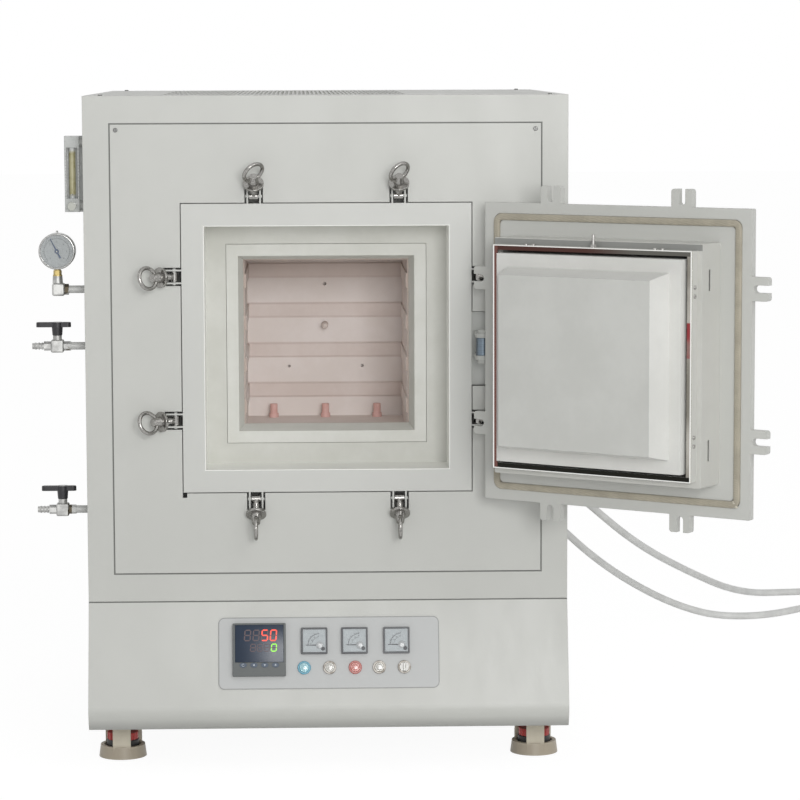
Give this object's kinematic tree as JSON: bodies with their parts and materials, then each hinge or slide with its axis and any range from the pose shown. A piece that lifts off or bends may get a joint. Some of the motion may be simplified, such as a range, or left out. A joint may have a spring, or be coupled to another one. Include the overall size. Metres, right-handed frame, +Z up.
{
  "type": "atmosphere box furnace",
  "caption": "Free-standing atmosphere box furnace with a square clamped door shown open, a sloping control strip, gas fittings on its side, free hoses and levelling casters.",
  "frame": {"origin": "centre of the footprint box of the furnace with its open door, hoses left out, on the floor", "axes": "+X to the furnace's right seen from the front, +Y to its back, +Z up"},
  "size_m": [1.8412, 2.2482, 1.223],
  "materials": {
    "acrylic": "clear moulded",
    "black": "moulded",
    "clear": "moulded",
    "core": "painted",
    "cream": "satin",
    "cyan": "moulded",
    "element": "matte",
    "fibre": "matte fibre board",
    "gasket": "braided glass cord",
    "grey_plastic": "moulded",
    "hose": "satin",
    "lining": "matte fired",
    "nickel": "satin nickel plate",
    "pad_rubber": "matte",
    "paint": "semi-gloss powder coat",
    "paint_light": "satin",
    "peg": "matte fired",
    "plate_white": "satin",
    "red": "moulded",
    "steel": "brushed",
    "steel_bright": "polished",
    "wheel": "moulded nylon"
  },
  "bodies": {
    "root": {"upper_shell": "paint", "top_grille": "paint", "rear_cover": "paint", "front_panel": "paint", "base_shell": "paint", "control_plate": "plate_white", "furnace_vessel": "paint_light", "vessel_brackets": "paint_light", "insulation_boards": "fibre", "fibre_collar": "fibre", "chamber_lining": "lining", "heating_elements": "element", "ceramic_tubes": "peg", "case_screws": "steel", "power_supply": "core", "gas_pipework": "nickel", "flowmeter_body": "acrylic", "gauge_case": "steel", "controller_case": "grey_plastic", "panel_meters": "grey_plastic", "control_bezels": "steel", "hose_upper": "hose", "hose_lower": "hose", "hose_end_fittings": "nickel"},
    "hinge_arm": {"hinge_arm": "steel"},
    "door": {"door_plate": "paint_light", "door_gasket": "gasket", "door_tray": "paint_light", "door_trim": "steel_bright", "door_plug": "fibre", "door_screws": "steel"},
    "bolt_top_left": {"bolt_top_left": "steel_bright"},
    "bolt_top_right": {"bolt_top_right": "steel_bright"},
    "bolt_left_upper": {"bolt_left_upper": "steel_bright"},
    "bolt_left_lower": {"bolt_left_lower": "steel_bright"},
    "bolt_bottom_left": {"bolt_bottom_left": "steel_bright"},
    "bolt_bottom_right": {"bolt_bottom_right": "steel_bright"},
    "bolt_right_upper": {"bolt_right_upper": "steel_bright"},
    "bolt_right_lower": {"bolt_right_lower": "steel_bright"},
    "caster_front_left": {"caster_front_left": "cream"},
    "wheel_front_left": {"wheel_front_left": "wheel"},
    "pad_front_left": {"pad_front_left": "pad_rubber"},
    "caster_back_left": {"caster_back_left": "cream"},
    "wheel_back_left": {"wheel_back_left": "wheel"},
    "pad_back_left": {"pad_back_left": "pad_rubber"},
    "caster_front_right": {"caster_front_right": "cream"},
    "wheel_front_right": {"wheel_front_right": "wheel"},
    "pad_front_right": {"pad_front_right": "pad_rubber"},
    "caster_back_right": {"caster_back_right": "cream"},
    "wheel_back_right": {"wheel_back_right": "wheel"},
    "pad_back_right": {"pad_back_right": "pad_rubber"},
    "button_cyan": {"button_cyan": "cyan"},
    "button_start": {"button_start": "clear"},
    "button_red": {"button_red": "red"},
    "button_run": {"button_run": "clear"},
    "selector_switch": {"selector_switch": "clear"},
    "valve_handle_upper": {"valve_handle_upper": "black"},
    "valve_handle_lower": {"valve_handle_lower": "black"},
    "flowmeter_knob": {"flowmeter_knob": "acrylic"},
    "gauge_needle": {"gauge_needle": "black"}
  },
  "joints": [
    {"name": "door_swing", "type": "hinge", "parent": "root", "child": "hinge_arm", "pos_m": [0.17242, -0.32849, 0.773], "axis": [0, 0, 1], "range_deg": [-144.6, 15.4]},
    {"name": "door_seating_slide", "type": "slide", "parent": "hinge_arm", "child": "door", "axis": [0.5793, 0.8151, 0], "range_m": [-0.0312, 0]},
    {"name": "bolt_top_left_swing", "type": "hinge", "parent": "root", "child": "bolt_top_left", "pos_m": [-0.23596, -0.27524, 1.041], "axis": [-1, 0, 0], "range_deg": [-45, 5.5]},
    {"name": "bolt_top_right_swing", "type": "hinge", "parent": "root", "child": "bolt_top_right", "pos_m": [0.02404, -0.27524, 1.041], "axis": [-1, 0, 0], "range_deg": [-45, 5.5]},
    {"name": "bolt_left_upper_swing", "type": "hinge", "parent": "root", "child": "bolt_left_upper", "pos_m": [-0.37996, -0.27524, 0.897], "axis": [0, 0, -1], "range_deg": [-47, 3.5]},
    {"name": "bolt_left_lower_swing", "type": "hinge", "parent": "root", "child": "bolt_left_lower", "pos_m": [-0.37996, -0.27524, 0.637], "axis": [0, 0, -1], "range_deg": [-50, 0.5]},
    {"name": "bolt_bottom_left_swing", "type": "hinge", "parent": "root", "child": "bolt_bottom_left", "pos_m": [-0.23596, -0.27524, 0.493], "axis": [1, 0, 0], "range_deg": [-50, 0.5]},
    {"name": "bolt_bottom_right_swing", "type": "hinge", "parent": "root", "child": "bolt_bottom_right", "pos_m": [0.02404, -0.27524, 0.493], "axis": [1, 0, 0], "range_deg": [-50, 0.5]},
    {"name": "bolt_right_upper_swing", "type": "hinge", "parent": "root", "child": "bolt_right_upper", "pos_m": [0.16804, -0.27524, 0.897], "axis": [0, 0, 1], "range_deg": [-13, 0.5]},
    {"name": "bolt_right_lower_swing", "type": "hinge", "parent": "root", "child": "bolt_right_lower", "pos_m": [0.16804, -0.27524, 0.637], "axis": [0, 0, 1], "range_deg": [-13, 0.5]},
    {"name": "caster_front_left_swivel", "type": "hinge", "parent": "root", "child": "caster_front_left", "pos_m": [-0.48796, -0.17924, 0.06], "axis": [0, 0, 1], "continuous": true},
    {"name": "wheel_front_left_spin", "type": "hinge", "parent": "caster_front_left", "child": "wheel_front_left", "pos_m": [-0.48796, -0.11824, 0.0275], "axis": [1, 0, 0], "continuous": true},
    {"name": "pad_front_left_lift", "type": "slide", "parent": "caster_front_left", "child": "pad_front_left", "axis": [0, 0, 1], "range_m": [-0.004, 0]},
    {"name": "caster_back_left_swivel", "type": "hinge", "parent": "root", "child": "caster_back_left", "pos_m": [-0.48796, 0.56076, 0.06], "axis": [0, 0, 1], "continuous": true},
    {"name": "wheel_back_left_spin", "type": "hinge", "parent": "caster_back_left", "child": "wheel_back_left", "pos_m": [-0.48796, 0.62176, 0.0275], "axis": [1, 0, 0], "continuous": true},
    {"name": "pad_back_left_lift", "type": "slide", "parent": "caster_back_left", "child": "pad_back_left", "axis": [0, 0, 1], "range_m": [-0.004, 0]},
    {"name": "caster_front_right_swivel", "type": "hinge", "parent": "root", "child": "caster_front_right", "pos_m": [0.27604, -0.17924, 0.06], "axis": [0, 0, 1], "continuous": true},
    {"name": "wheel_front_right_spin", "type": "hinge", "parent": "caster_front_right", "child": "wheel_front_right", "pos_m": [0.27604, -0.11824, 0.0275], "axis": [1, 0, 0], "continuous": true},
    {"name": "pad_front_right_lift", "type": "slide", "parent": "caster_front_right", "child": "pad_front_right", "axis": [0, 0, 1], "range_m": [-0.004, 0]},
    {"name": "caster_back_right_swivel", "type": "hinge", "parent": "root", "child": "caster_back_right", "pos_m": [0.27604, 0.56076, 0.06], "axis": [0, 0, 1], "continuous": true},
    {"name": "wheel_back_right_spin", "type": "hinge", "parent": "caster_back_right", "child": "wheel_back_right", "pos_m": [0.27604, 0.62176, 0.0275], "axis": [1, 0, 0], "continuous": true},
    {"name": "pad_back_right_lift", "type": "slide", "parent": "caster_back_right", "child": "pad_back_right", "axis": [0, 0, 1], "range_m": [-0.004, 0]},
    {"name": "button_cyan_press", "type": "slide", "parent": "root", "child": "button_cyan", "axis": [0, 0.9632, -0.2689], "range_m": [0, 0.003], "stiffness_N_per_m": 300, "springref_m": -0.001},
    {"name": "button_start_press", "type": "slide", "parent": "root", "child": "button_start", "axis": [0, 0.9632, -0.2689], "range_m": [0, 0.003], "stiffness_N_per_m": 300, "springref_m": -0.001},
    {"name": "button_red_press", "type": "slide", "parent": "root", "child": "button_red", "axis": [0, 0.9632, -0.2689], "range_m": [0, 0.003], "stiffness_N_per_m": 300, "springref_m": -0.001},
    {"name": "button_run_press", "type": "slide", "parent": "root", "child": "button_run", "axis": [0, 0.9632, -0.2689], "range_m": [0, 0.003], "stiffness_N_per_m": 300, "springref_m": -0.001},
    {"name": "selector_turn", "type": "hinge", "parent": "root", "child": "selector_switch", "pos_m": [0.03054, -0.31204, 0.18849], "axis": [0, -0.9632, 0.2689], "range_deg": [-90, 0]},
    {"name": "valve_turn_upper", "type": "hinge", "parent": "root", "child": "valve_handle_upper", "pos_m": [-0.59496, -0.21924, 0.8065], "axis": [0, 0, 1], "range_deg": [-90, 0]},
    {"name": "valve_turn_lower", "type": "hinge", "parent": "root", "child": "valve_handle_lower", "pos_m": [-0.58946, -0.21924, 0.507], "axis": [0, 0, 1], "range_deg": [-90, 0]},
    {"name": "flowmeter_knob_turn", "type": "hinge", "parent": "root", "child": "flowmeter_knob", "pos_m": [-0.56346, -0.23924, 1.023], "axis": [0, -1, 0], "range_deg": [-1080, 0]},
    {"name": "gauge_needle_turn", "type": "hinge", "parent": "root", "child": "gauge_needle", "pos_m": [-0.59296, -0.23024, 0.941], "axis": [0, 1, 0], "range_deg": [-108, 162]}
  ]
}
